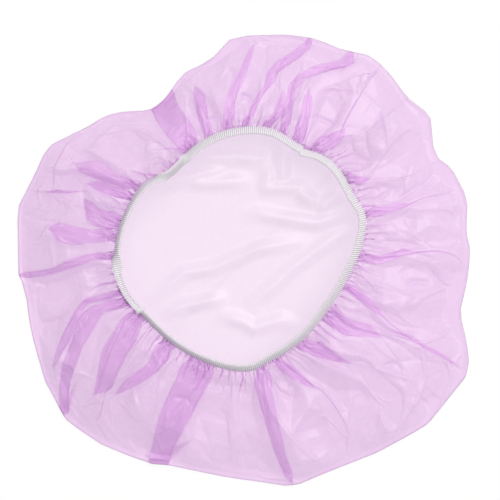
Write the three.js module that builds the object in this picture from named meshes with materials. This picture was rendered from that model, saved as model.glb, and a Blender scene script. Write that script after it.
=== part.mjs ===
// Shower cap lying on its crown with the elastic opening upwards, in millimetres, +Z up.
// One disc of soft film is folded over at its widest line: the crown lies flat on the table and
// the gathered skirt comes back over it to the opening. There an elastic strip is oversewn to the
// film's edge with a three-thread overlock seam: a needle thread and two looper threads.
import * as THREE from "three";

// Driving sizes of the cap as it lies
const capRadius = 140; // middle of the outer fold, before its corners
const openingRadius = 69; // free edge of the seam, before its bends
const openingOffsetX = -3; // of the opening from the middle of the outer fold
const openingOffsetY = 7.5;
const rimHeight = 22; // from the table to the underside of the film at the seam

// Film, drawn thicker than the real 0.1 mm so that it is a sound solid
const filmGauge = 0.8;
const hemWidth = 6.5; // flat film under the seam
const gatherReach = 9; // from the hem to the crests of the small gathers
const gatherDepth = 0.8;
const foldDepth = 2.6; // the broad folds halfway out
const foldRise = 2.5; // how far the film bulges above a straight slope there
const shoulderReach = 11; // from the outer fold to the shoulder above it
const shoulderHeight = 9;
const shoulderDepth = 2;
const foldCount = 13; // broad folds around the cap

// Elastic strip, cut to length and lapped over itself where its ends meet
const elasticWidth = 4.5;
const elasticThickness = 0.8;
const lapAngle = 58; // degrees, where the lap begins
const lapLength = 12;
const lapClimb = 9; // length over which the upper end climbs onto the lower one

// Overlock seam
const threadDiameter = 0.5;
const stitchPitch = 3;
const stitchOverhang = 0.5; // how far each looper turns past the edges of the elastic

const clearance = 0.3; // between pieces that touch on the real cap
const stations = 104; // steps around the cap, a multiple of 8 so that the folds close

// Corners of the outer fold: degrees from +X, and millimetres outside capRadius
const outlineCorners = [
  [3, 0], [6, -2], [13, 1], [15, 3.5], [24, 0.5], [29, -6], [38, 6], [45, 2.5], [53, 7], [58, 9],
  [67, 3], [71, 4.5], [79, 2.5], [93, -1], [100, -15.5], [106, -17], [109, -19], [116, -29],
  [123, -30.5], [126, -25], [133, -16], [139, -13], [150, 1], [157, 0], [167, 4], [184, 0],
  [187, -3.5], [198, -1], [211, 4], [222, 8], [232, 4], [240, 0], [247, -2.5], [249, -5],
  [266, -5.5], [272, -4], [282, 3], [292, 0.5], [305, 4.5], [318, 12], [333, 15], [336, 12],
  [341, 5], [346, -3], [355, -1.5],
];

// Bends of the opening: degrees from +X, and millimetres outside openingRadius
const openingBends = [
  [0, 1.5], [15, 7], [24, 4.5], [42, 5], [60, 0.5], [75, 3], [96, 0], [110, -3.5], [130, -8.5],
  [138, -6.5], [144, -2], [160, 1], [190, 5], [203, 3.5], [217, -0.5], [234, -1], [251, 0],
  [275, 2.5], [286, -1.5], [306, -5], [326, -7], [345, -4],
];

const degrees = THREE.MathUtils.degToRad;
const fullTurn = 360;

// The list's neighbours of an angle: the span's two entries and the one on either side of them.
function spanAt(list, angle) {
  const count = list.length;
  const turned = THREE.MathUtils.euclideanModulo(angle, fullTurn);
  const after = list.findIndex(([at]) => at > turned);
  const next = after < 0 ? count : after;
  return [-2, -1, 0, 1].map((step) => {
    const index = next + step;
    const turns = Math.floor(index / count);
    const [at, offset] = list[index - turns * count];
    return { at: at + turns * fullTurn, offset, turned };
  });
}

// Radius of the outer fold, which runs straight from corner to corner.
function outlineRadius(angle) {
  const [, from, to] = spanAt(outlineCorners, angle);
  const fromShare = Math.sin(degrees(to.at - from.turned)) / (capRadius + from.offset);
  const toShare = Math.sin(degrees(from.turned - from.at)) / (capRadius + to.offset);
  return Math.sin(degrees(to.at - from.at)) / (fromShare + toShare);
}

// Radius of the opening's free edge, which bends smoothly.
function edgeRadius(angle) {
  const [before, from, to, after] = spanAt(openingBends, angle);
  const span = to.at - from.at;
  const t = (from.turned - from.at) / span;
  const slopeFrom = ((to.offset - before.offset) / (to.at - before.at)) * span;
  const slopeTo = ((after.offset - from.offset) / (after.at - from.at)) * span;
  const rise = to.offset - from.offset;
  const square = 3 * rise - 2 * slopeFrom - slopeTo;
  const cube = slopeFrom + slopeTo - 2 * rise;
  return openingRadius + from.offset + t * (slopeFrom + t * (square + t * cube));
}

// A point at an angle: so far outside the opening's free edge, at a height.
function seamPoint(angle, outside, height) {
  const radius = edgeRadius(angle) + outside;
  const turn = degrees(angle);
  return new THREE.Vector3(
    openingOffsetX + radius * Math.cos(turn),
    openingOffsetY + radius * Math.sin(turn),
    height,
  );
}

// A point at an angle: so far inside the outer fold, at a height.
function foldPoint(angle, inside, height) {
  const radius = outlineRadius(angle) - inside;
  const turn = degrees(angle);
  return new THREE.Vector3(radius * Math.cos(turn), radius * Math.sin(turn), height);
}

const stationAngles = Array.from({ length: stations }, (_, i) => (i * fullTurn) / stations);

function surface(points, faces) {
  const geometry = new THREE.BufferGeometry().setFromPoints(points);
  geometry.setIndex(faces);
  geometry.computeVertexNormals();
  return geometry;
}

// Joins sections, each listed anticlockwise seen along the sweep, into one closed surface.
function loft(sections, isRing) {
  const across = sections[0].length;
  const faces = [];
  const spans = isRing ? sections.length : sections.length - 1;
  for (let i = 0; i < spans; i++) {
    const here = i * across;
    const next = ((i + 1) % sections.length) * across;
    for (let j = 0; j < across; j++) {
      const k = (j + 1) % across;
      faces.push(here + j, next + j, next + k, here + j, next + k, here + k);
    }
  }
  if (!isRing) {
    const end = (sections.length - 1) * across;
    for (let j = 1; j < across - 1; j++) {
      faces.push(0, j, j + 1, end, end + j + 1, end + j);
    }
  }
  return surface(sections.flat(), faces);
}

// Crown: the half of the disc that lies on the table, flat, out to the fold.
function crownFilm() {
  const rim = (height) => stationAngles.map((angle) => foldPoint(angle, 0, height));
  const points = [...rim(0), ...rim(filmGauge)];
  const underMiddle = points.push(new THREE.Vector3(0, 0, 0)) - 1;
  const topMiddle = points.push(new THREE.Vector3(0, 0, filmGauge)) - 1;
  const faces = [];
  for (let i = 0; i < stations; i++) {
    const next = (i + 1) % stations;
    faces.push(underMiddle, next, i, topMiddle, stations + i, stations + next);
    faces.push(i, next, stations + next, i, stations + next, stations + i);
  }
  return surface(points, faces);
}

// Underside of the skirt at one station, from the hem's cut edge out to the fold.
function skirtRow(angle, station) {
  const wave = Math.cos(degrees(angle * foldCount));
  const zigzag = station % 2 ? 1 : -1;
  const hem = [seamPoint(angle, 0, rimHeight), seamPoint(angle, hemWidth, rimHeight)];
  const gather = seamPoint(angle, hemWidth + gatherReach, rimHeight + gatherDepth * zigzag);
  const shoulder = foldPoint(angle, shoulderReach, shoulderHeight);
  shoulder.z += shoulderDepth * wave;
  const fold = new THREE.Vector3().lerpVectors(gather, shoulder, 0.5);
  fold.z = (rimHeight + shoulderHeight) / 2 + foldRise + foldDepth * wave;
  return [...hem, gather, fold, shoulder, foldPoint(angle, 0, filmGauge + clearance)];
}

// Skirt: the gathered half of the disc, from the fold back to the opening, thickened along its normals.
function skirtFilm() {
  const rows = stationAngles.map(skirtRow);
  const across = rows[0].length;
  const faces = [];
  for (let i = 0; i < stations; i++) {
    const here = i * across;
    const next = ((i + 1) % stations) * across;
    for (let j = 0; j < across - 1; j++) {
      faces.push(here + j, here + j + 1, next + j + 1, here + j, next + j + 1, next + j);
    }
  }
  const normals = surface(rows.flat(), faces).attributes.normal;
  const sections = rows.map((row, i) => {
    const top = row.map((point, j) => {
      const up = new THREE.Vector3().fromBufferAttribute(normals, i * across + j);
      return up.multiplyScalar(filmGauge).add(point);
    });
    return [...top.reverse(), ...row];
  });
  return loft(sections, true);
}

// Heights of the seam's layers, from the film up to the upper looper and down to the lower one
const filmTop = rimHeight + filmGauge;
const elasticBase = filmTop + clearance;
const lapLift = elasticThickness + clearance;
const threadRadius = threadDiameter / 2;
const upperLooperHeight = elasticBase + elasticThickness + clearance + threadRadius;
const lowerLooperHeight = rimHeight - clearance - threadRadius;

// A length along the seam as an angle there.
const seamAngle = (length) => THREE.MathUtils.radToDeg(length / (openingRadius + elasticWidth / 2));

// How far the elastic's lapped end lifts what lies on it: up before the lap, and down after it.
function liftAt(angle) {
  const middle = lapAngle + seamAngle(lapLength) / 2;
  const turned = THREE.MathUtils.euclideanModulo(angle - middle, fullTurn);
  const away = Math.min(turned, fullTurn - turned);
  const flat = seamAngle(lapLength) / 2 + stationAngles[1];
  return lapLift * (1 - THREE.MathUtils.smoothstep(away, flat, flat + seamAngle(lapClimb)));
}

// Elastic: one flat strip, once around and then over its own start.
function elasticBand() {
  const step = stationAngles[1];
  const climbEnd = lapAngle + fullTurn - step;
  const climbStart = climbEnd - seamAngle(lapClimb);
  const lapEnd = lapAngle + fullTurn + seamAngle(lapLength);
  const angles = [lapAngle];
  for (let i = Math.ceil(lapAngle / step); i * step < lapEnd; i++) {
    angles.push(i * step);
  }
  angles.push(lapEnd);
  const sections = angles.map((angle) => {
    const base = elasticBase + lapLift * THREE.MathUtils.smoothstep(angle, climbStart, climbEnd);
    const top = base + elasticThickness;
    return [
      seamPoint(angle, 0, base),
      seamPoint(angle, elasticWidth, base),
      seamPoint(angle, elasticWidth, top),
      seamPoint(angle, 0, top),
    ];
  });
  return loft(sections, false);
}

// A thread's section at one place, drawn out sideways where the thread turns sharply.
function threadSection(angle, outside, height, reach) {
  return [
    seamPoint(angle, outside - reach, height),
    seamPoint(angle, outside, height - threadRadius),
    seamPoint(angle, outside + reach, height),
    seamPoint(angle, outside, height + threadRadius),
  ];
}

// Looper thread: zigzags between the needle line and the free edge, all the way round.
function looperThread(heightAt) {
  const seamLength = degrees(fullTurn) * (openingRadius + elasticWidth / 2);
  const stitches = Math.round(seamLength / stitchPitch);
  const legLength = Math.hypot(elasticWidth + 2 * stitchOverhang, stitchPitch / 2);
  const reach = (threadRadius * legLength) / (stitchPitch / 2);
  const sections = [];
  for (let turn = 0; turn < 2 * stitches; turn++) {
    const angle = (turn * fullTurn) / (2 * stitches);
    const outside = turn % 2 ? -stitchOverhang : elasticWidth + stitchOverhang;
    sections.push(threadSection(angle, outside, heightAt(angle), reach));
  }
  return loft(sections, true);
}

// Needle thread: runs along the film beside the elastic's outer edge.
function needleThread() {
  const outside = elasticWidth + clearance + threadRadius;
  const height = filmTop + clearance + threadRadius;
  return loft(stationAngles.map((angle) => threadSection(angle, outside, height, threadRadius)), true);
}

const film = new THREE.MeshStandardMaterial({
  color: 0xe6c6ea,
  roughness: 0.4,
  metalness: 0,
  transparent: true,
  opacity: 0.5,
  side: THREE.DoubleSide,
});
const elastic = new THREE.MeshStandardMaterial({ color: 0xe9e6ea, roughness: 0.85, metalness: 0 });
const thread = new THREE.MeshStandardMaterial({ color: 0xd5ced6, roughness: 0.75, metalness: 0 });

function piece(name, geometry, material) {
  const mesh = new THREE.Mesh(geometry, material);
  mesh.name = name;
  return mesh;
}

const cap = new THREE.Group();
cap.add(
  piece("crown_film", crownFilm(), film),
  piece("skirt_film", skirtFilm(), film),
  piece("elastic_band", elasticBand(), elastic),
  piece("needle_thread", needleThread(), thread),
  piece("upper_looper_thread", looperThread((angle) => upperLooperHeight + liftAt(angle)), thread),
  piece("lower_looper_thread", looperThread(() => lowerLooperHeight), thread),
);

// The origin is on the table, under the middle of the lying cap.
const middle = new THREE.Box3().setFromObject(cap).getCenter(new THREE.Vector3());
cap.position.set(-middle.x, -middle.y, 0);

export default cap;
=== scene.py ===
import math

import bpy
import numpy as np
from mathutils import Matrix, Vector
from mathutils.geometry import delaunay_2d_cdt


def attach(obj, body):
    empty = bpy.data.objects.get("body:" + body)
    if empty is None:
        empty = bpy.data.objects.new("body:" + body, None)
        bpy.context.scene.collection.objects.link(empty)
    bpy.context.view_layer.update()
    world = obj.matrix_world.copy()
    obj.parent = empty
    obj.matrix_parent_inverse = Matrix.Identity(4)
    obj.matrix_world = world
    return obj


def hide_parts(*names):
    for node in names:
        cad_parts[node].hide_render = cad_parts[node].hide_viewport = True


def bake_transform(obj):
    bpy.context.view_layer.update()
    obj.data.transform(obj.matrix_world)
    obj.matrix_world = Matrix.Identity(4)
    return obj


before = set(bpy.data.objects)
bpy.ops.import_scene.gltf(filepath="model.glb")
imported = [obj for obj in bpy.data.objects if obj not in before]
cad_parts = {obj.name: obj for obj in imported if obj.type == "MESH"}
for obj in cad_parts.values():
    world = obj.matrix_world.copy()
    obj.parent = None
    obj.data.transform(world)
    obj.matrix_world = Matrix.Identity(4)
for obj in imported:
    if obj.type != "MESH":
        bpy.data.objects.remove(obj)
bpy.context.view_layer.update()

FULL = 2 * math.pi
MM = 0.001

# Film, in millimetres
RIM_Z = 22.4  # film at the seam
FOLD_Z = 1.3  # middle of the outer fold
FOLD_DROP = 0.6  # from there down to the edge of the crown
CROWN_Z = 0.2  # crown, lying on the table
SEAM_TUCK = 3.6  # film that runs in under the elastic
SEAM_MEAN_RADIUS = 74
FLAT_SEAM = 1430  # length of the film's edge before it is gathered
LOOSE_LENGTH = 1085  # film round the middle of the skirt
CONTOUR_RADIUS = 30  # points of a solid nearer the middle than this are on no contour
PROBES = 2880  # angles at which a plan point's place on the skirt is looked up
COLUMNS = 2304  # film points round the cap
SKIRT_ROWS = 96
CROWN_ROWS = 90
# Height of the skirt before it is creased. A share of the skirt is 0 at the seam and 1 at the outer fold.
PROFILE = [(0, RIM_Z), (0.06, RIM_Z + 0.8), (0.25, RIM_Z + 0.8), (0.5, 19.2), (0.7, 13.6),
           (0.85, 7.8), (0.94, 4.0), (0.985, 2.0), (1, FOLD_Z)]
CROWN_CENTRE = 0.02  # share of the crown's radius at its innermost row
EVEN_SHARE = 0.15  # share of the skirt whose mean angle the crown's points keep
EVEN_REACH = 0.3  # share of the crown's radius over which its points become evenly spread
EDGE_START = 0.93  # share of the radius where the crown turns up to the fold
EDGE_WIDTH = 0.07  # and the share over which it does
# The crown's rows have fewer points nearer its middle: beyond each share of its radius, every nth point
CROWN_STRIDES = [(0.9, 1), (0.8, 2), (0.5, 4), (0.2, 8), (0, 16)]

# Tucks
MIN_GAP = 0.012  # radians between two tucks
MIN_WIDTH = 0.004  # radians across a tuck
LOOSE_GAP = 0.02  # radians, least width of the film between two tucks when its columns are shared out
ORDER_SHARE = 0.3  # share of the skirt at which the tucks are put in order
MIDDLE_RADIUS = 100  # of the skirt, in millimetres
WIDTH_SHARES = (0.1, 0.3, 0.5)  # shares of the skirt at which a tuck's width is measured
EASE = 0.45  # share of the film between two tucks over which a tuck's lift dies away
WOBBLE = 0.07  # of a tuck's edges, against its width
FADE = 0.1  # share of the film beside a tuck over which the creases fade
OPEN_WIDTH = 0.7  # of an opened tuck, against evenly spread film
OPEN_SHARE = 0.25  # share of the skirt over which a tuck opens
LIFT_SHARE = 0.12  # share of the skirt over which a tuck rises from the seam
LAYER_LIFTS = [0, 0.35, 0.7, 1, 0]  # at the four edges of a tuck's three layers, and beside it

# Creases, in millimetres
MAP_STEP = 0.5  # between the points of a crease map
MAP_HALF = 160  # half width of a map
MAP_MARGIN = 9  # from there to the map's far corners
EASING_STEPS = 80  # in which steep facets are made less steep
EASING = 0.2  # share of the steepness that one step takes away
CREASE_START = 5.0  # height of the creases that the film starts with
CREASE_HEIGHT = 8.0  # height of the creases set in the relaxed film
SMALL_CREASE = 1.4  # height of the small ones between them
PINCH_WIDTH = 2.0  # half width of the sharp line along a crease of the skirt
PINCH_RISE = 2.2  # and its height
TUCK_EASE = 0.7  # how much weaker the creases are where the film is folded into a tuck
CROWN_RIDGE = 6.0  # half width of a crease in the crown
CROWN_RISE = 3.7  # and its height
WRINKLE_END = 0.8  # share of the crown's radius where its creases start to fade out
WRINKLE_FADE = 0.15  # and the share over which they do
RIDGE_FADE = 0.3  # share of a crease's length over which it dies away
RIDGE_END = 0.1  # start of that fade, at the very end
# Shares of the skirt where creases start at the seam, over which they rise, where they start to fade before
# the fold, and over which they do
START_FADES = (0, 0.15, 0.8, 0.2)
CREASE_FADES = (-0.02, 0.2, 0.88, 0.12)

# Relaxing of the film, in millimetres
ROUND_SLACK = 0.10  # share of spare film, round the cap
OUT_SLACK = 0.02  # and from the seam out to the fold
SLACK_END = 0.6  # share of the skirt where the spare film starts to fade out
SLACK_FADE = 0.38  # and the share over which it does
FILM_WEIGHT = 0.002  # drop of a loose point in one step
FILM_BELOW = 1.2  # how far the film may lie below the profile
FILM_ABOVE = 4.0  # and above it
FILM_LOWEST = 1.6  # height of the loose film
DRIFT_KEPT = 0.9  # share of a point's last move that it makes again
DRIFT_LIMIT = 0.4  # longest such move
SLANT_STIFFNESS = 0.7  # of the film against shear
# Rows, columns and steps of each round, how stiffly the film resists a bend, the share of the seam's gathers
# that the round takes up, and the share of the skirt that they reach
ROUNDS = [
    (24, 288, 120, 0.2, 0.0, 0.4),
    (48, 576, 90, 0.2, 0.0, 0.4),
    (96, 1152, 60, 0.08, 0.5, 0.4),
    (SKIRT_ROWS, COLUMNS, 40, 0.08, 1.0, 0.25),
]

# Gathers of the film at the seam, in millimetres
SEAM_PLEATS = 260
PLEAT_WIDTHS = (0.5, 1.5)  # against their mean
PLEAT_SNAKE = 0.7  # sideways swing within a pleat
PLEAT_LEAN = (0.5, 1.3)  # sideways lean of one pleat
PLEAT_RISE = (0.4, 1.0)
PLEAT_REACH = 0.07  # share of the skirt that the shortest pleats reach
PLEAT_SPREAD = 0.35  # and how much further the longest do
PLEAT_POWER = 2.5  # the higher, the fewer are long
HEM_DROP = 0.4  # of the hem under the elastic, below the seam
HEM_RISE = 0.5  # of a pleat in the hem, against the pleat outside

# Elastic and threads, in millimetres
TAPE_WIDTH = 5.6
TAPE_THICKNESS = 0.9
TAPE_GAP = 0.4  # from the needle thread to the elastic
TAPE_RISE = 1.3  # from the film to the middle of the elastic
TAPE_EDGE = 0.2  # width of its rounded edges
TAPE_RINGS = 720  # sections along it
STITCH_PITCH = 1.2
THREAD_RADIUS = 0.3
THREAD_SIDES = 6
THREAD_OUT = 0.25  # how far a looper thread goes past the tape's edge
NEEDLE_RADIUS = 0.2
NEEDLE_OUT = 0.35  # from the tape's edge to the needle thread
NEEDLE_BELOW = 0.3  # needle thread, below the tape's middle
NEEDLE_WAVE = 0.25  # its rise and fall at each stitch
# Lean of the tape, inner edge up: degrees round the opening, and of lean
TILT = [(0, 38), (50, 38), (90, 38), (118, 36), (124, -50), (134, -50), (141, 44), (160, 58),
        (182, 58), (192, -58), (211, -60), (213, 58), (250, 56), (275, 44), (320, 38)]
LAP_ANGLE = math.radians(58)  # where the ends of the tape lap
LAP_LENGTH = math.radians(9)
LAP_LIFT = 1.2  # of the upper end
LAP_SHIFT = 1.6  # of the upper end, inwards

# Looks of the film
FILM_HAZE = (0.33, 0.38)  # least and most share of scattered light
FROST_THROUGH = 0.45  # share of it that goes on through the film
GLOSS_LIMIT = 0.08  # most share of reflected light
GLOSS_ROUGHNESS = 0.34

# Colours, linear
CROWN_TINT = (0.984, 0.878, 0.988, 1)
# Deeper than the crown's tint, though it is the same film: painted shade for light the skirt's layers keep
# from the floor
SKIRT_TINT_AND_SHADE = (0.972, 0.830, 0.994, 1)
FROST_COLOUR = (0.95, 0.795, 0.985, 1)
THREAD_COLOUR = (0.93, 0.93, 0.97, 1)
TAPE_COLOUR = (0.64, 0.62, 0.68, 1)
PAPER_COLOUR = (0.95, 0.95, 0.95, 1)
KEY_COLOUR = (1, 0.965, 0.91)
SKY_COLOUR = (0.975, 0.95, 0.955, 1)

# Studio, in metres and watts
FLOOR_HALF = 3.0
FLOOR_DROP = 0.0003  # clear of the crown
FLOOR_GLOW = 0.9  # share of plain white in the floor that is seen
KEY_PLACE = (1.15, 1.35, 2.85)
KEY_SIZE = 3.2
KEY_POWER = 90
SKY_STRENGTH = 0.64
CAMERA_PLACE = (0.0039, 0.0063, 2.5)
SENSOR = 36  # in millimetres
FIELD = 0.308  # width of the picture at the cap
FIELD_Z = 0.01  # height at which that is measured

# Tucks of the skirt, where the film doubles back under itself: plan points of the two edges, from the seam
# out to the fold, the height that the tuck stands up, and the share of the skirt where it opens
TUCKS = [
    ([(-36, -64), (-44, -84), (-53, -104), (-59, -119), (-60, -132)],
     [(-20, -66), (-24, -76), (-33, -98), (-44, -120), (-49, -133)], 2.0, 2.0),
    ([(-51, -51), (-57, -62), (-70, -73), (-80, -84)],
     [(-44, -55), (-52, -68), (-66, -77), (-80, -85)], 2.0, 0.5),
    ([(-70, -33), (-77, -42), (-87, -56), (-91, -72)],
     [(-62, -38), (-68, -52), (-76, -65), (-82, -77)], 1.5, 0.55),
    ([(-76, -23), (-93, -28), (-99, -34), (-104, -45), (-114, -70), (-118, -88)],
     [(-71, -28), (-86, -31), (-94, -46), (-104, -66), (-109, -78), (-109, -95)], 1.8, 0.9),
    ([(-78, -19), (-97, -23), (-104, -32), (-112, -48), (-122, -74)],
     [(-77, -22), (-96, -26), (-101, -34), (-107, -50), (-116, -72), (-119, -82)], 1.4, 0.75),
    ([(-80, 4), (-90, 4), (-100, 1), (-118, -6), (-140, -7)],
     [(-80, 0), (-93, 0), (-102, -4), (-120, -9), (-140, -12)], 1.4, 0.9),
    ([(-79, 18), (-90, 19), (-105, 21), (-120, 23)],
     [(-80, 12), (-88, 12), (-103, 9), (-115, 12), (-121, 19)], 1.6, 0.55),
    ([(-77, 27), (-88, 29), (-96, 38), (-99, 46)],
     [(-78, 20), (-90, 21), (-96, 24), (-99, 42)], 1.6, 0.3),
    ([(-65, 47), (-78, 52), (-84, 58), (-97, 63), (-108, 65)],
     [(-68, 43), (-80, 47), (-93, 51), (-105, 55)], 1.6, 0.5),
    ([(-69, 42), (-80, 45), (-94, 50)],
     [(-72, 37), (-84, 41), (-92, 44)], 1.4, 0.3),
    ([(-29, 74), (-35, 86), (-43, 103), (-45, 106)],
     [(-37, 66), (-47, 77), (-54, 89), (-57, 95)], 1.6, 2.0),
    ([(-24, 79), (-28, 92), (-31, 104), (-36, 117)],
     [(-20, 80), (-22, 92), (-25, 104), (-30, 119)], 1.4, 0.6),
    ([(-13, 82), (-10, 97), (-3, 112), (7, 137)],
     [(-8, 83), (-5, 95), (1, 112), (9, 138)], 1.6, 0.8),
    ([(-1, 84), (5, 95), (14, 108), (25, 122), (38, 134)],
     [(3, 84), (9, 96), (19, 109), (29, 119), (44, 133)], 1.4, 0.9),
    ([(12, 83), (20, 92), (24, 104), (38, 122), (50, 132)],
     [(17, 82), (26, 93), (27, 104), (40, 121), (53, 131)], 1.4, 0.3),
    ([(22, 80), (27, 95), (29, 107), (40, 117), (60, 124), (74, 128)],
     [(26, 79), (30, 95), (32, 104), (42, 113), (62, 120), (79, 125)], 1.4, 0.9),
    ([(31, 76), (37, 90), (39, 107), (58, 117), (84, 121)],
     [(37, 73), (42, 88), (45, 106), (62, 114), (86, 120)], 1.2, 0.35),
    ([(42, 71), (48, 76), (58, 81), (76, 100), (91, 114)],
     [(49, 67), (54, 70), (64, 76), (80, 96), (94, 110)], 1.4, 0.2),
    ([(60, 54), (66, 54), (72, 51)],
     [(64, 46), (69, 47), (74, 47)], 1.2, 0.1),
    ([(74, 31), (84, 31), (98, 34)],
     [(75, 26), (84, 27), (98, 31)], 1.0, 0.3),
    ([(71, 5), (82, 2), (97, 6), (112, 5), (130, 6)],
     [(70, 0), (84, -2), (98, 2), (113, 0), (131, 2)], 1.4, 0.35),
    ([(63, -14), (76, -22), (88, -35)],
     [(61, -18), (74, -27), (86, -38)], 1.2, 0.2),
    ([(55, -30), (64, -38), (76, -40), (96, -52)],
     [(50, -37), (62, -46), (76, -48), (92, -56)], 1.6, 0.25),
    ([(38, -48), (52, -56), (70, -64)],
     [(31, -53), (48, -60), (66, -66)], 1.4, 0.2),
    ([(22, -59), (36, -71), (49, -80)],
     [(18, -61), (30, -74), (44, -83)], 1.2, 0.2),
    ([(13, -66), (17, -80), (20, -100), (24, -120), (33, -136)],
     [(8, -67), (10, -90), (17, -115), (26, -135)], 1.6, 0.85),
]

# Creases of the skirt, as plan points: ridges stand up and valleys sink in
RIDGES = [
    [(-68, 85), (-55, 76), (-41, 65)],
    [(-91, 77), (-77, 80), (-69, 83)],
    [(-106, 56), (-92, 53), (-81, 50), (-69, 44)],
    [(-99, 45), (-91, 37), (-85, 28), (-76, 35)],
    [(-114, 45), (-107, 34), (-99, 23)],
    [(-121, 17), (-114, 14), (-109, 8), (-108, -1)],
    [(-20, 107), (-17, 98), (-15, 90)],
    [(53, 118), (39, 106), (27, 92), (14, 84)],
    [(77, 124), (71, 104), (85, 92), (88, 80), (90, 62)],
    [(95, 59), (99, 53), (99, 49)],
    [(67, -10), (76, -13), (86, -16), (102, -23)],
    [(93, -32), (107, -20)],
    [(37, -50), (50, -53), (65, -61), (80, -66), (99, -72), (109, -76)],
    [(109, -76), (108, -85), (101, -101), (96, -112)],
    [(10, -69), (17, -93), (28, -108), (50, -128)],
    [(-62, -44), (-64, -50), (-72, -69), (-78, -82)],
    [(-91, -84), (-89, -93), (-80, -107), (-70, -120)],
    [(-54, -71), (-47, -63), (-40, -55)],
    [(-110, -98), (-103, -103), (-94, -109), (-88, -113)],
    [(-114, -71), (-113, -84), (-113, -89)],
    [(-69, -76), (-65, -92)],
    [(-53, -71), (-57, -100)],
]
VALLEYS = [
    [(-87, 88), (-75, 87), (-65, 86)],
    [(-99, 45), (-96, 23)],
    [(-140, 29), (-122, 24), (-103, 21), (-95, 21), (-88, 17)],
    [(-109, 6), (-95, 7), (-82, 8)],
    [(-36, 117), (-31, 107), (-27, 86), (-24, 77)],
    [(-2, 102), (5, 99)],
    [(-23, 86), (-13, 89)],
    [(49, 103), (58, 104), (69, 102)],
    [(38, 86), (45, 88), (58, 82), (72, 81)],
    [(66, 77), (66, 70), (70, 63), (79, 61)],
    [(73, 81), (75, 77), (78, 62)],
    [(73, 51), (88, 58), (101, 67), (113, 75)],
    [(96, 40), (99, 49), (104, 61)],
    [(78, 35), (91, 43)],
    [(92, 33), (99, 40), (106, 45), (112, 47), (120, 56)],
    [(92, 24), (106, 33), (121, 38), (137, 45)],
    [(79, 13), (98, 11), (108, 8), (129, 6)],
    [(81, 0), (88, 1), (100, 6), (108, 4), (121, 0)],
    [(111, -2), (121, -13), (132, -24)],
    [(100, -18), (103, -13), (116, -14)],
    [(68, -16), (78, -24), (90, -37), (95, -40), (110, -42), (125, -45)],
    [(79, -40), (88, -48), (98, -53), (107, -61), (130, -66)],
    [(82, -66), (93, -63), (107, -61)],
    [(109, -76), (125, -67)],
    [(108, -84), (117, -93)],
    [(11, -83), (17, -113), (27, -136)],
    [(15, -71), (21, -80), (30, -85), (33, -77)],
    [(21, -61), (36, -72), (48, -80)],
    [(-22, -76), (-7, -77), (8, -77)],
    [(-21, -76), (-11, -68)],
    [(-139, -8), (-120, -7), (-100, 1), (-82, 3)],
    [(-136, -11), (-122, -15), (-110, -12), (-99, -5)],
    [(-130, -40), (-114, -37), (-102, -29), (-88, -18), (-80, -13)],
    [(-109, -79), (-103, -88), (-102, -97), (-103, -101)],
    [(-58, -64), (-70, -73), (-78, -82), (-91, -84)],
    [(-43, -84), (-35, -85), (-31, -89)],
    [(-35, -66), (-27, -69), (-22, -76)],
    [(-70, -120), (-58, -118)],
    [(-82, -114), (-75, -114), (-70, -120)],
]
# Soft creases of the crown, seen through the opening
CROWN_CREASES = [
    [(-33, 62), (-5, 64), (17, 62)],
    [(-59, 45), (-34, 51), (-8, 58)],
    [(-39, 48), (-16, 48), (6, 49)],
    [(24, 71), (24, 54), (23, 46)],
    [(11, 61), (16, 53), (14, 45), (30, 45), (43, 45)],
    [(32, 44), (42, 37), (43, 33)],
    [(-3, 27), (9, 29), (30, 25), (45, 23), (66, 30)],
    [(45, 30), (61, 43)],
    [(-60, -28), (-37, -8), (-19, -5), (9, 7), (43, 13)],
    [(-51, -35), (-36, -28), (-9, -23)],
    [(-18, -33), (0, -38), (6, -42), (24, -37), (34, -42)],
    [(8, -35), (6, -25), (16, -18), (30, -5), (56, 14), (69, 20)],
]


def smooth(t):
    """Goes from 0 to 1 as t does, level at both ends."""
    t = np.clip(t, 0, 1)
    return t * t * (3 - 2 * t)


# Contours, read from the CAD solids


def node_points(name):
    """Corners of a solid, in millimetres."""
    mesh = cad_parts[name].data
    points = np.zeros(len(mesh.vertices) * 3, np.float32)
    mesh.vertices.foreach_get("co", points)
    return points.reshape(-1, 3).astype(float) / MM


def radius_by_angle(points, centre, pick):
    """Radius at every angle of a closed contour. pick chooses among the points at one angle."""
    away = points[:, :2] - centre
    radius = np.hypot(away[:, 0], away[:, 1])
    angle = np.round(np.arctan2(away[:, 1], away[:, 0]) % FULL, 3)
    on_contour = radius > CONTOUR_RADIUS
    angle, radius = angle[on_contour], radius[on_contour]
    angles = np.unique(angle)
    radii = np.array([pick(radius[angle == a]) for a in angles])
    return lambda at: np.interp(np.asarray(at) % FULL, angles, radii, period=FULL)


def on_circle(angle):
    return np.stack([np.cos(angle), np.sin(angle)], -1)


outline_radius = radius_by_angle(node_points("crown_film"), np.zeros(2), np.max)
needle_points = node_points("needle_thread")
ring_centre = (needle_points[:, :2].min(0) + needle_points[:, :2].max(0)) / 2
seam_radius = radius_by_angle(needle_points, ring_centre, np.mean)


def ring_point(angle, outside):
    """Plan point at an angle about the opening, so far outside the needle thread."""
    return ring_centre + (seam_radius(angle) + outside)[..., None] * on_circle(angle)


def outline_point(angle):
    return outline_radius(angle)[..., None] * on_circle(angle)


def skirt_plan(angle, share):
    """Plan point of the skirt: share 0 is at the seam and 1 at the outer fold."""
    inner = ring_point(angle, np.zeros_like(angle))
    return inner + (outline_point(angle) - inner) * share


probe_angles = np.linspace(0, FULL, PROBES, endpoint=False)
probe_inner = skirt_plan(probe_angles, 0)
probe_reach = skirt_plan(probe_angles, 1) - probe_inner


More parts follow.
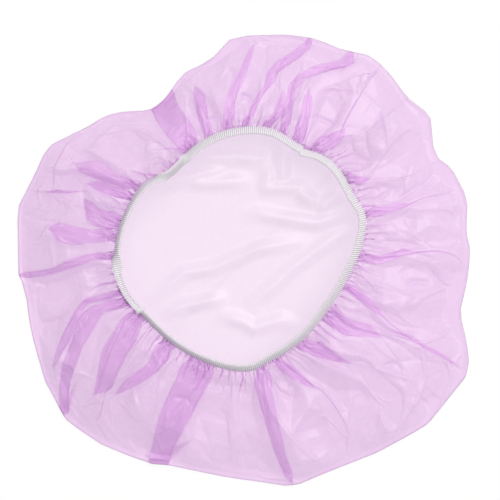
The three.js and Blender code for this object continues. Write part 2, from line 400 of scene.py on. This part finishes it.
def to_skirt(point):
    """Angle and share of a plan point of the skirt."""
    away = np.array(point) - probe_inner
    share = (away * probe_reach).sum(1) / (probe_reach ** 2).sum(1)
    miss = np.linalg.norm(away - share[:, None] * probe_reach, axis=1)
    miss[share < -0.3] = np.inf  # across the opening
    best = int(miss.argmin())
    return probe_angles[best], share[best]


# Tucks, as the angles of their two edges at each share of the skirt


class Tuck:
    """One tuck: the angles of its two edges, at shares of the skirt."""

    def __init__(self, first, second, lift, opens):
        self.lift, self.opens = lift, opens
        lines = [[to_skirt(point) for point in edge] for edge in (first, second)]
        start = lines[0][0][0]
        self.edges = []
        for line in lines:
            angles = np.unwrap([start] + [angle for angle, _ in line])[1:]
            self.edges.append((angles, np.array([share for _, share in line])))
        self.edges.sort(key=lambda edge: edge[0].mean())

    def span(self, share):
        """Lowest and highest angle of the tuck at one share."""
        low, high = (np.interp(share, shares, angles) for angles, shares in self.edges)
        return low, max(high, low + MIN_WIDTH)

    def turned(self, turns):
        """The same tuck, moved by whole turns."""
        self.edges = [(angles + turns * FULL, shares) for angles, shares in self.edges]
        return self


tucks = [Tuck(*tuck) for tuck in TUCKS]
tucks = [tuck.turned(-math.floor(tuck.span(ORDER_SHARE)[0] / FULL)) for tuck in tucks]
tucks.sort(key=lambda tuck: tuck.span(ORDER_SHARE)[0])


class TuckColumns:
    """Where every column of the film goes, with each tuck in three layers."""

    def __init__(self, columns):
        self.columns = columns
        angles = [[np.ptp(tuck.span(share)) for share in WIDTH_SHARES] for tuck in tucks]
        widths = [MIDDLE_RADIUS * max(across) for across in angles]
        self.layers = np.array([max(2, round(width * columns / LOOSE_LENGTH)) for width in widths])
        taken = 3 * self.layers
        free = columns - taken.sum()
        spans = [tuck.span(ORDER_SHARE) for tuck in tucks]
        ends = zip(spans, spans[1:] + [(spans[0][0] + FULL, 0)])
        gaps = [max(after[0] - here[1], LOOSE_GAP) for here, after in ends]
        gap_columns = np.round(free * np.cumsum(gaps) / np.sum(gaps)).astype(int)
        self.starts = np.cumsum(taken) - taken + np.concatenate([[0], gap_columns[:-1]])

    def row(self, share):
        """Angle and lift of every column at one share, and how far it is folded into a tuck."""
        corners, rises = [], []
        for i, (tuck, layers) in enumerate(zip(tucks, self.layers)):
            low, high = tuck.span(share)
            stray = WOBBLE * (high - low) * np.sin([5 * share + 1.7 * i, 7 * share + 2.4 * i])
            tight = np.array([low, high + stray[0], low + stray[1], high])
            flat = (low + high) / 2 + (np.arange(4) - 1.5) * OPEN_WIDTH * layers / self.columns * FULL
            loose = smooth((share - tuck.opens) / OPEN_SHARE)
            corners.append(tight + (flat - tight) * loose)
            rises.append(tuck.lift * smooth(share / LIFT_SHARE) * (1 - loose))
        for before, here in zip(corners, corners[1:]):
            here += max(0, before.max() + MIN_GAP - here.min())
        at, angle, lift, inside = [], [], [], []
        for i, (corner, rise) in enumerate(zip(corners, rises)):
            last = i == len(tucks) - 1
            next_low = corners[0][0] + FULL if last else corners[i + 1][0]
            next_start = self.starts[0] + self.columns if last else self.starts[i + 1]
            knots = self.starts[i] + self.layers[i] * np.arange(4)
            at += [*knots, knots[3] + EASE * (next_start - knots[3])]
            angle += [*corner, corner[3] + EASE * (next_low - corner[3])]
            lift += [part * rise for part in LAYER_LIFTS]
            margin = FADE * (next_start - knots[3])
            inside += [(knots[0] - margin, 0), (knots[0], 1), (knots[3], 1), (knots[3] + margin, 0)]
        at.append(at[0] + self.columns)
        angle.append(angle[0] + FULL)
        lift.append(0)
        shift = np.arange(self.columns) + self.starts[0]
        folded = np.interp(shift, *zip(*inside), period=self.columns)
        return np.interp(shift, at, angle), np.interp(shift, at, lift), folded


# Crease maps: heights over the plan, in flat facets between creases


def blur(values, times):
    """The map, softened so many times."""
    for _ in range(times):
        for axis in (0, 1):
            values = (np.roll(values, 1, axis) + 2 * values + np.roll(values, -1, axis)) / 4
    return values


def facet_map(lines, fill_points, fill_heights, softness, steepest):
    """Heights in flat facets. lines are (points, height) and keep their creases; steepest limits slopes."""
    corners, heights, edges = [], [], []
    for points, height in lines:
        edges += [(len(corners) + i, len(corners) + i + 1) for i in range(len(points) - 1)]
        corners += points
        heights += [height] * len(points)
    corners += [tuple(point) for point in fill_points]
    heights += list(fill_heights)
    far_side = MAP_HALF + MAP_MARGIN
    for x in (-far_side, far_side):
        for y in (-far_side, far_side):
            corners.append((x, y))
            heights.append(0)
    made = delaunay_2d_cdt([Vector(corner) for corner in corners], edges, [], 0, 1e-4)
    plan = np.array([tuple(point) for point in made[0]])
    level = np.array([np.mean([heights[i] for i in sources]) if sources else 0.0 for sources in made[3]])
    near, far = np.array(made[1]).T
    limit = steepest * np.linalg.norm(plan[far] - plan[near], axis=1)
    for _ in range(EASING_STEPS):
        rise = level[far] - level[near]
        ease = EASING * (rise - np.clip(rise, -limit, limit))
        np.add.at(level, near, ease)
        np.add.at(level, far, -ease)
    size = int(2 * MAP_HALF / MAP_STEP) + 1
    out = np.zeros((size, size))
    for corner_ids in made[2]:
        facet = plan[list(corner_ids)]
        low = np.maximum(np.floor((facet.min(0) + MAP_HALF) / MAP_STEP), 0).astype(int)
        high = np.minimum(np.ceil((facet.max(0) + MAP_HALF) / MAP_STEP), size - 1).astype(int)
        if (high < low).any():
            continue
        y, x = np.mgrid[low[1]:high[1] + 1, low[0]:high[0] + 1] * MAP_STEP - MAP_HALF
        a, b, c = facet
        cross = (b[0] - a[0]) * (c[1] - a[1]) - (b[1] - a[1]) * (c[0] - a[0])
        s = ((x - a[0]) * (c[1] - a[1]) - (y - a[1]) * (c[0] - a[0])) / cross
        t = ((b[0] - a[0]) * (y - a[1]) - (b[1] - a[1]) * (x - a[0])) / cross
        inside = (s >= -1e-6) & (t >= -1e-6) & (s + t <= 1 + 1e-6)
        za, zb, zc = level[list(corner_ids)]
        block = out[low[1]:high[1] + 1, low[0]:high[0] + 1]
        block[inside] = (za + s * (zb - za) + t * (zc - za))[inside]
    return blur(out, softness)


def sample(field, plan):
    """Value of a map at plan points."""
    at = (plan + MAP_HALF) / MAP_STEP
    low = np.clip(np.floor(at).astype(int), 0, field.shape[0] - 2)
    x, y = (at - low).T
    i, j = low[:, 1], low[:, 0]
    return ((1 - y) * ((1 - x) * field[i, j] + x * field[i, j + 1])
            + y * ((1 - x) * field[i + 1, j] + x * field[i + 1, j + 1]))


def scattered(count, seed, spacing, low_share, high_share):
    """Random plan points over the skirt, no two closer than spacing."""
    dice = np.random.default_rng(seed)
    kept = np.zeros((0, 2))
    for angle, share in zip(dice.uniform(0, FULL, count), dice.uniform(low_share, high_share, count)):
        point = skirt_plan(np.array([angle]), share)[0]
        if not len(kept) or np.linalg.norm(kept - point, axis=1).min() > spacing:
            kept = np.vstack([kept, point])
    return kept, dice


big_fill, dice = scattered(count=400, seed=21, spacing=17, low_share=-0.1, high_share=1.05)
big_facets = facet_map(
    [(line, 1.0) for line in RIDGES] + [(line, -1.0) for line in VALLEYS],
    big_fill, dice.uniform(-0.9, 0.9, len(big_fill)), softness=0, steepest=0.07)
small_fill, dice = scattered(count=2500, seed=22, spacing=9, low_share=-0.1, high_share=1.05)
small_facets = facet_map([], small_fill, dice.uniform(-1, 1, len(small_fill)), softness=1, steepest=0.2)


def ridge_map(lines, width):
    """Narrow ridges of height 1 along lines, that die away at their ends."""
    size = int(2 * MAP_HALF / MAP_STEP) + 1
    y, x = np.mgrid[0:size, 0:size] * MAP_STEP - MAP_HALF
    out = np.zeros((size, size))
    for line in lines:
        points = np.array(line, float)
        ends = np.concatenate([[0], np.cumsum(np.linalg.norm(np.diff(points, axis=0), axis=1))])
        for i, (a, b) in enumerate(zip(points, points[1:])):
            along = (b - a) / (ends[i + 1] - ends[i])
            t = np.clip((x - a[0]) * along[0] + (y - a[1]) * along[1], 0, ends[i + 1] - ends[i])
            gap = np.hypot(x - a[0] - t * along[0], y - a[1] - t * along[1])
            place = (ends[i] + t) / ends[-1]
            fade = smooth(np.minimum(place, 1 - place) / RIDGE_FADE + RIDGE_END)
            out = np.maximum(out, np.maximum(1 - gap / width, 0) * fade)
    return out


pinches = blur(ridge_map(RIDGES, PINCH_WIDTH) - ridge_map(VALLEYS, PINCH_WIDTH), times=1)
crown_fill, dice = scattered(count=300, seed=23, spacing=22, low_share=-1.0, high_share=1.0)
crown_facets = facet_map([], crown_fill, dice.uniform(0.0, 0.15, len(crown_fill)), softness=30, steepest=0.1)
crown_facets += blur(ridge_map(CROWN_CREASES, CROWN_RIDGE), times=3)


# Film surface


def profile(share):
    """Height of the uncreased skirt."""
    return np.interp(share, *zip(*PROFILE))


def pull(a, b, rest, stiffness=1.0, only_push=False):
    """Moves pairs of points towards their rest distance, in place."""
    away = b - a
    shift = 1 - rest / (np.sqrt((away * away).sum(-1, keepdims=True)) + 1e-6)
    if only_push:
        shift = np.minimum(shift, 0)
    away *= 0.5 * stiffness * shift
    a += away
    b -= away


def length(vectors):
    return np.sqrt((vectors * vectors).sum(-1, keepdims=True)).astype(np.float32)


class Strip:
    """The skirt as a grid of film points that keep the distances of a drawn shape, lengthened by slack."""

    def __init__(self, points, drawn, round_slack, out_slack):
        self.points = points.astype(np.float32)
        self.before = self.points.copy()
        self.held = self.points[0].copy(), self.points[-1].copy()
        slack = round_slack[:, None, None]
        out_slack = out_slack[:, None, None]
        outward = out_slack[1:] * (drawn[1:] - drawn[:-1])
        self.round_rest = slack * length(np.roll(drawn, -1, 1) - drawn)
        self.out_rest = length(outward)
        self.slant_rest = {}
        for way in (1, -1):
            sideways = slack[1:] * (np.roll(drawn[1:], way, 1) - drawn[1:])
            self.slant_rest[way] = length(outward + sideways)
        self.round_bend = slack * length(np.roll(drawn, -2, 1) - drawn)
        self.out_bend = out_slack[2:] * length(drawn[2:] - drawn[:-2])

    def hold(self):
        """Puts the seam and the fold back in place."""
        self.points[0], self.points[-1] = self.held

    def sweep(self, bend):
        """Pulls every point once towards its rest distances: round, out, on the slant, and against a bend."""
        rows, columns, _ = self.points.shape
        for start in (0, 1):
            turned = np.roll(self.points, -start, 1)
            pull(turned[:, 0::2], turned[:, 1::2], np.roll(self.round_rest, -start, 1)[:, 0::2])
            self.points = np.roll(turned, start, 1)
        for start in (0, 1):
            pull(self.points[start:rows - 1:2], self.points[start + 1:rows:2], self.out_rest[start::2])
        for way in (1, -1):
            for start in (0, 1):
                turned = np.roll(self.points[start + 1:rows:2], way, 1)
                pull(self.points[start:rows - 1:2], turned, self.slant_rest[way][start::2], SLANT_STIFFNESS)
                self.points[start + 1:rows:2] = np.roll(turned, -way, 1)
        for start in (0, 2):
            turned = np.roll(self.points, -start, 1)
            fours = turned.reshape(rows, columns // 4, 4, 3)
            rest = np.roll(self.round_bend, -start, 1).reshape(rows, columns // 4, 4, 1)
            pull(fours[:, :, :2], fours[:, :, 2:], rest[:, :, :2], bend, True)
            self.points = np.roll(turned, start, 1)
        for start in (0, 1, 2, 3):
            low = self.points[start:rows - 2:4]
            pull(low, self.points[start + 2:rows:4][:len(low)], self.out_bend[start::4], bend, True)
        self.hold()

    def relax(self, steps, bend, lowest, highest):
        """Lets the film settle between two heights."""
        for _ in range(steps):
            drift = DRIFT_KEPT * (self.points - self.before)
            self.before = self.points.copy()
            self.points = self.points + np.clip(drift, -DRIFT_LIMIT, DRIFT_LIMIT)
            self.points[..., 2] -= FILM_WEIGHT
            self.sweep(bend)
            self.sweep(bend)
            np.clip(self.points[..., 2], lowest, highest, out=self.points[..., 2])
            self.hold()


def finer(points, rows, columns):
    """The same film with more points."""
    at = np.linspace(0, len(points) - 1, rows)
    low = np.minimum(at.astype(int), len(points) - 2)
    points = points[low] + (at - low)[:, None, None] * (points[low + 1] - points[low])
    while points.shape[1] < columns:
        between = (points + np.roll(points, -1, 1)) / 2
        points = np.stack([points, between], 2).reshape(len(points), -1, points.shape[2])
    return points


def fades(share, begin, rise, end, fall):
    """Two factors at a share of the skirt: creases rise from the seam, and fade before the fold."""
    return smooth((share - begin) / rise), 1 - smooth((share - end) / fall)


def start_strip(rows, columns):
    """The drawn start, its columns' angles at the seam, at the fold and spread evenly, and its tucks."""
    made = TuckColumns(columns)
    even = np.arange(columns) / columns * FULL + made.row(EVEN_SHARE)[0].mean()
    even -= FULL * (columns - 1) / columns / 2
    strip = []
    for share in np.linspace(0, 1, rows):
        angle, lift, folded = made.row(share)
        plan = skirt_plan(angle, share)
        rise, fall = fades(share, *START_FADES)
        crease = CREASE_START * sample(big_facets, plan) * rise * fall * (1 - TUCK_EASE * folded)
        strip.append(np.column_stack([plan, np.maximum(profile(share) + lift + crease, FOLD_Z)]))
    return np.stack(strip), made.row(0.0)[0], angle, even, folded


def spread(angles, columns):
    """Angles of more columns, between the given ones."""
    at = np.arange(columns) * len(angles) / columns
    return np.interp(at, np.arange(len(angles) + 1), [*angles, angles[0] + FULL])


dice = np.random.default_rng(3)
pleat_ends = np.concatenate([[0], np.cumsum(dice.uniform(*PLEAT_WIDTHS, SEAM_PLEATS))])
turns = np.interp(np.arange(COLUMNS) / COLUMNS, pleat_ends / pleat_ends[-1], np.arange(SEAM_PLEATS + 1))


def each_pleat(values):
    """A value for each seam pleat, passed smoothly from one to the next."""
    return np.interp(turns, np.arange(SEAM_PLEATS) + 0.5, values, period=SEAM_PLEATS)


lean = dice.uniform(*PLEAT_LEAN, SEAM_PLEATS) * dice.choice([-1, 1], SEAM_PLEATS)
pleat_side = PLEAT_SNAKE * np.sin(2 * FULL * turns) + each_pleat(lean) * np.cos(FULL * turns)
pleat_rise = each_pleat(dice.uniform(*PLEAT_RISE, SEAM_PLEATS)) * np.cos(FULL * turns)
pleat_reach = each_pleat(PLEAT_REACH + PLEAT_SPREAD * dice.uniform(0, 1, SEAM_PLEATS) ** PLEAT_POWER)


def add_seam_pleats(points, shares, angles):
    """Sets the gathers of the seam in the film, each as far out as it reaches."""
    round_way = np.column_stack([-np.sin(angles), np.cos(angles)])
    for row, share in zip(points, shares):
        fade = 1 - smooth(share / pleat_reach)
        row[:, :2] += (fade * pleat_side)[:, None] * round_way
        row[:, 2] += fade * pleat_rise


def relaxed(points, drawn):
    """The film after every round, each with more points than the last."""
    for rows, columns, steps, bend, gathered, reach in ROUNDS:
        points, drawn = (finer(values, rows, columns) for values in (points, drawn))
        shares = np.linspace(0, 1, rows)
        if columns == COLUMNS:
            add_seam_pleats(points, shares, spread(seam_angle, columns))
        drawn_seam = np.linalg.norm(drawn[0] - np.roll(drawn[0], 1, 0), axis=1).sum()
        gathers = gathered * max(FLAT_SEAM / drawn_seam - 1, 0) * (1 - smooth(shares / reach))
        slack = 1 - smooth((shares - SLACK_END) / SLACK_FADE)
        strip = Strip(points, drawn, 1 + ROUND_SLACK * slack + gathers, 1 + OUT_SLACK * slack)
        middle = profile(shares)[:, None]
        strip.relax(steps, bend, np.maximum(middle - FILM_BELOW, FILM_LOWEST), middle + FILM_ABOVE)
        points = strip.points
    return points.astype(float)


drawn, seam_angle, fold_angle, even_angle, folded = start_strip(*ROUNDS[0][:2])
skirt = relaxed(drawn, drawn)
column_at = np.arange(COLUMNS) * len(folded) / COLUMNS
folded = np.interp(column_at, np.arange(len(folded)), folded, period=len(folded))
for row, share in zip(skirt, np.linspace(0, 1, SKIRT_ROWS)):
    plan = row[:, :2]
    rise, fall = fades(share, *CREASE_FADES)
    crease = CREASE_HEIGHT * sample(big_facets, plan) + SMALL_CREASE * sample(small_facets, plan)
    crease += PINCH_RISE * sample(pinches, plan)
    row[:, 2] += rise * fall * (1 - TUCK_EASE * folded) * crease
skirt[..., 2] = np.maximum(skirt[..., 2], FOLD_Z)
fold_angle = spread(fold_angle, COLUMNS)
even_angle = spread(even_angle, COLUMNS)
hem_angle = spread(seam_angle, COLUMNS) + pleat_side / SEAM_MEAN_RADIUS
hem_height = RIM_Z - HEM_DROP + HEM_RISE * pleat_rise
hem = [np.column_stack([ring_point(hem_angle, np.full(COLUMNS, -inside)), hem_height])
       for inside in (SEAM_TUCK, SEAM_TUCK / 2)]

rows = hem + list(skirt)
skirt_points = sum(len(row) for row in rows)
for reach in np.linspace(1, CROWN_CENTRE, CROWN_ROWS)[1:]:
    stride = next(step for least, step in CROWN_STRIDES if reach > least)
    angle = fold_angle + (even_angle - fold_angle) * smooth((1 - reach) / EVEN_REACH)
    plan = outline_point(angle) * reach
    level = CROWN_Z + (FOLD_Z - FOLD_DROP - CROWN_Z) * smooth((reach - EDGE_START) / EDGE_WIDTH)
    wrinkles = CROWN_RISE * sample(crown_facets, plan) * (1 - smooth((reach - WRINKLE_END) / WRINKLE_FADE))
    rows.append(np.column_stack([plan, level + wrinkles])[::stride])
centre_height = CROWN_Z + CROWN_RISE * float(sample(crown_facets, np.zeros((1, 2)))[0])
rows.append(np.array([[0, 0, centre_height]]))


def join_rows(counts):
    """Triangles between rings of points. A ring may have half the points of the last, or be one point."""
    faces, start = [], 0
    for here, there in zip(counts, counts[1:]):
        a = start + np.arange(here)
        b = start + here + np.arange(there)
        a_next, b_next = np.roll(a, -1), np.roll(b, -1)
        if there == 1:
            faces.append(np.stack([a, np.full(here, b[0]), a_next], 1))
        elif here == there:
            faces += [np.stack([a, b, b_next], 1), np.stack([a, b_next, a_next], 1)]
        else:
            left, middle, right = a[0::2], a[1::2], np.roll(a, -2)[0::2]
            faces += [np.stack([left, b, middle], 1), np.stack([middle, b, b_next], 1),
                      np.stack([middle, b_next, right], 1)]
        start += here
    return np.vstack(faces)


def mesh_object(name, points, faces, material):
    mesh = bpy.data.meshes.new(name)
    mesh.vertices.add(len(points))
    mesh.vertices.foreach_set("co", np.asarray(points, np.float32).ravel())
    corners = faces.shape[1]
    mesh.loops.add(faces.size)
    mesh.loops.foreach_set("vertex_index", faces.astype(np.int32).ravel())
    mesh.polygons.add(len(faces))
    mesh.polygons.foreach_set("loop_start", np.arange(0, faces.size, corners, dtype=np.int32))
    mesh.polygons.foreach_set("loop_total", np.full(len(faces), corners, np.int32))
    mesh.update(calc_edges=True)
    mesh.polygons.foreach_set("use_smooth", np.ones(len(faces), bool))
    made = bpy.data.objects.new(name, mesh)
    bpy.context.collection.objects.link(made)
    made.data.materials.append(material)
    return made


def new_material(name):
    made = bpy.data.materials.new(name)
    made.use_nodes = True
    made.node_tree.nodes.clear()
    return made, made.node_tree


def add(tree, kind, **inputs):
    """A shader node with its inputs set by name, or by place as _0 and _1. A socket as value is linked."""
    node = tree.nodes.new("ShaderNode" + kind)
    for name, value in inputs.items():
        socket = node.inputs[int(name[1:])] if name[0] == "_" else node.inputs[name.replace("_", " ")]
        if isinstance(value, bpy.types.NodeSocket):
            tree.links.new(value, socket)
        else:
            socket.default_value = value
    return node


# Film: each layer tints what lies behind it, scatters a little light, and has a soft gloss


def film_material():
    """skirt_share is 1 on the skirt, whose folds get a deeper tint as painted shade, and 0 on the crown."""
    made, tree = new_material("film")
    coords = add(tree, "TexCoord")
    mottle = add(tree, "TexNoise", Vector=coords.outputs["Object"], Scale=140.0, Detail=3.0)
    haze = add(tree, "MapRange", _0=mottle.outputs[0], _1=0.3, _2=0.7, _3=FILM_HAZE[0], _4=FILM_HAZE[1])
    grain = add(tree, "TexNoise", Vector=coords.outputs["Object"], Scale=900.0, Detail=2.0)
    bump = add(tree, "Bump", Strength=0.12, Distance=0.0002, Height=grain.outputs[0])
    share = add(tree, "Attribute")
    share.attribute_name = "skirt_share"
    # Painted shade: the skirt is given a deeper tint than the crown
    tint_and_shade = add(tree, "Mix", _0=share.outputs["Fac"])
    tint_and_shade.data_type = "RGBA"
    tint_and_shade.inputs[6].default_value = CROWN_TINT
    tint_and_shade.inputs[7].default_value = SKIRT_TINT_AND_SHADE
    clear = add(tree, "BsdfTransparent", Color=tint_and_shade.outputs[2])
    front = add(tree, "BsdfDiffuse", Color=FROST_COLOUR, Normal=bump.outputs[0])
    back = add(tree, "BsdfTranslucent", Color=FROST_COLOUR, Normal=bump.outputs[0])
    frost = add(tree, "MixShader", _0=FROST_THROUGH, _1=front.outputs[0], _2=back.outputs[0])
    body = add(tree, "MixShader", _0=haze.outputs[0], _1=clear.outputs[0], _2=frost.outputs[0])
    fresnel = add(tree, "Fresnel", IOR=1.5)
    limit = add(tree, "Math", _0=fresnel.outputs[0], _1=GLOSS_LIMIT)
    limit.operation = "MINIMUM"
    gloss = add(tree, "BsdfGlossy", Roughness=GLOSS_ROUGHNESS, Normal=bump.outputs[0])
    top = add(tree, "MixShader", _0=limit.outputs[0], _1=body.outputs[0], _2=gloss.outputs[0])
    add(tree, "OutputMaterial", Surface=top.outputs[0])
    return made


film = mesh_object("film", np.vstack(rows) * MM, join_rows([len(row) for row in rows]), film_material())
skirt_share = np.zeros(len(film.data.vertices), np.float32)
skirt_share[:skirt_points] = 1
film.data.attributes.new("skirt_share", "FLOAT", "POINT").data.foreach_set("value", skirt_share)
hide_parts("crown_film", "skirt_film")

# Seam: elastic tape, its ends lapped, with the overlock threads wound across it

tape_middle = -TAPE_GAP - TAPE_WIDTH / 2  # from the needle thread
tape_height = RIM_Z + TAPE_RISE


def tape_point(angle, across, above):
    """Point of the seam's section: across from the tape's middle outwards, and above its middle."""
    tilt = np.radians(np.interp(np.degrees(angle) % 360, *zip(*TILT), period=360))
    plan = ring_point(angle, tape_middle + across * np.cos(tilt) + above * np.sin(tilt))
    lap = smooth((angle - LAP_ANGLE - FULL + LAP_LENGTH) / LAP_LENGTH)
    plan -= LAP_SHIFT * lap[:, None] * on_circle(angle)
    height = tape_height - across * np.sin(tilt) + above * np.cos(tilt) + LAP_LIFT * lap
    return np.column_stack([plan, height])


def sweep_faces(rings, sides):
    """Quads between rings of points."""
    here = np.arange(rings - 1)[:, None] * sides
    there = here + sides
    side = np.arange(sides)[None, :]
    after = (side + 1) % sides
    return np.stack([here + side, here + after, there + after, there + side], -1).reshape(-1, 4)


def thread(path, radius):
    """Points and faces of a round thread along a path."""
    ahead = np.roll(path, -1, 0) - np.roll(path, 1, 0)
    ahead[0], ahead[-1] = path[1] - path[0], path[-1] - path[-2]
    ahead /= np.linalg.norm(ahead, axis=1)[:, None]
    across_all = [0.21, 0.17, 0.96]  # a direction that no thread follows
    side = np.cross(ahead, across_all)
    side /= np.linalg.norm(side, axis=1)[:, None]
    up = np.cross(side, ahead)
    turn = np.arange(THREAD_SIDES) * FULL / THREAD_SIDES
    ring = np.cos(turn)[None, :, None] * side[:, None] + np.sin(turn)[None, :, None] * up[:, None]
    return (path[:, None] + radius * ring).reshape(-1, 3), sweep_faces(len(path), THREAD_SIDES)


def fibre_material(name, colour, roughness):
    """Rough fibre with a fine fuzz."""
    made, tree = new_material(name)
    coords = add(tree, "TexCoord")
    fuzz = add(tree, "TexNoise", Vector=coords.outputs["Object"], Scale=1500.0, Detail=4.0)
    tone = add(tree, "MapRange", _0=fuzz.outputs[0], _1=0.3, _2=0.7, _3=0.86, _4=1.0)
    shade = add(tree, "Mix")
    shade.data_type, shade.blend_type = "RGBA", "MULTIPLY"
    shade.inputs[0].default_value = 1
    shade.inputs[6].default_value = colour
    tree.links.new(tone.outputs[0], shade.inputs[7])
    bump = add(tree, "Bump", Strength=0.4, Distance=0.0001, Height=fuzz.outputs[0])
    shader = add(tree, "BsdfPrincipled", Base_Color=shade.outputs[2], Roughness=roughness)
    tree.links.new(bump.outputs[0], shader.inputs["Normal"])
    add(tree, "OutputMaterial", Surface=shader.outputs[0])
    return made


def seam_piece(name, node, points, faces, material):
    """A piece of the seam, which goes with the rim in place of a solid."""
    made = mesh_object(name, points * MM, faces, material)
    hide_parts(node)
    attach(made, "rim")


thread_material = fibre_material("thread", THREAD_COLOUR, 0.75)
tape_material = fibre_material("elastic", TAPE_COLOUR, 0.85)

half, thick = TAPE_WIDTH / 2, TAPE_THICKNESS / 2
flank = half - TAPE_EDGE
upper_side = [(-half, 0.4 * thick), (-flank, thick), (0, 1.1 * thick), (flank, thick), (half, 0.4 * thick)]
section = upper_side + [(-across, -above) for across, above in upper_side]
tape_angles = np.linspace(LAP_ANGLE, LAP_ANGLE + FULL, TAPE_RINGS)
tape_rings = np.stack([tape_point(tape_angles, across, above) for across, above in section], 1)
seam_piece("elastic_tape", "elastic_band", tape_rings.reshape(-1, 3),
           sweep_faces(len(tape_angles), len(section)), tape_material)

seam_length = FULL * (float(seam_radius(probe_angles).mean()) + tape_middle)
stitches = int(round(seam_length / STITCH_PITCH))


def looper(name, node, side):
    """One looper thread: across the tape at each stitch, and slanting back within it to the next."""
    edge = half + THREAD_OUT
    face = thick + 0.75 * THREAD_RADIUS
    inner = half - 2 * TAPE_EDGE
    # Across the tape, above its middle, and along it as a share of the stitch
    stitch = [(-edge, 0.1, 0), (-flank, face, 0.02), (-0.9, face + 0.1, 0.06), (0.9, face + 0.1, 0.10),
              (flank, face, 0.14), (edge, 0.1, 0.2), (inner, 0.0, 0.45), (0, 0.0, 0.6), (-inner, 0.0, 0.75)]
    across, above, along = (np.tile(values, stitches) for values in zip(*stitch))
    index = np.repeat(np.arange(stitches), len(stitch))
    angle = LAP_ANGLE + (index + along) / stitches * FULL
    points, faces = thread(tape_point(angle, across, above * side), THREAD_RADIUS)
    seam_piece(name, node, points, faces, thread_material)


looper("upper_looper", "upper_looper_thread", 1)
looper("lower_looper", "lower_looper_thread", -1)
needle_steps = 4 * stitches
needle_angle = LAP_ANGLE + np.arange(needle_steps) / needle_steps * FULL
needle_above = -NEEDLE_BELOW + NEEDLE_WAVE * np.cos((needle_angle - LAP_ANGLE) * stitches)
needle_line = tape_point(needle_angle, half + NEEDLE_OUT, needle_above)
points, faces = thread(needle_line, NEEDLE_RADIUS)
seam_piece("needle", "needle_thread", points, faces, thread_material)

# Floor, light and camera


def floor_material():
    """Pale paper that takes the shadow, and looks nearly white."""
    made, tree = new_material("floor")
    ray = add(tree, "LightPath")
    seen = add(tree, "Math", _0=ray.outputs["Is Camera Ray"], _1=ray.outputs["Is Glossy Ray"])
    seen.operation = "MAXIMUM"
    seen_too = add(tree, "Math", _0=seen.outputs[0], _1=ray.outputs["Is Transmission Ray"])
    seen_too.operation = "MAXIMUM"
    share = add(tree, "Math", _0=seen_too.outputs[0], _1=FLOOR_GLOW)
    share.operation = "MULTIPLY"
    paper = add(tree, "BsdfDiffuse", Color=PAPER_COLOUR)
    white = add(tree, "Emission", Color=(1, 1, 1, 1), Strength=1.0)
    both = add(tree, "MixShader", _0=share.outputs[0], _1=paper.outputs[0], _2=white.outputs[0])
    add(tree, "OutputMaterial", Surface=both.outputs[0])
    return made


floor_corners = FLOOR_HALF * np.array([[-1, -1, 0], [1, -1, 0], [1, 1, 0], [-1, 1, 0]])
floor = mesh_object("floor", floor_corners - [0, 0, FLOOR_DROP], np.array([[0, 1, 2, 3]]), floor_material())

world = bpy.data.worlds.new("studio")
world.use_nodes = True
world.node_tree.nodes["Background"].inputs["Color"].default_value = SKY_COLOUR
world.node_tree.nodes["Background"].inputs["Strength"].default_value = SKY_STRENGTH
scene = bpy.context.scene
scene.world = world

key_data = bpy.data.lights.new("key", "AREA")
key_data.color = KEY_COLOUR
key_data.size = KEY_SIZE
key_data.energy = KEY_POWER
key = bpy.data.objects.new("key", key_data)
key.location = KEY_PLACE
key.rotation_euler = (-Vector(KEY_PLACE)).to_track_quat("-Z", "Y").to_euler()
bpy.context.collection.objects.link(key)

camera_data = bpy.data.cameras.new("camera")
camera = bpy.data.objects.new("camera", camera_data)
bpy.context.collection.objects.link(camera)
camera.location = CAMERA_PLACE
camera_data.sensor_width = SENSOR
camera_data.lens = SENSOR * (CAMERA_PLACE[2] - FIELD_Z) / FIELD
camera_data.clip_end = 20
scene.camera = camera
scene.view_settings.view_transform = "Standard"
scene.cycles.transparent_max_bounces = 48

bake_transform(film)
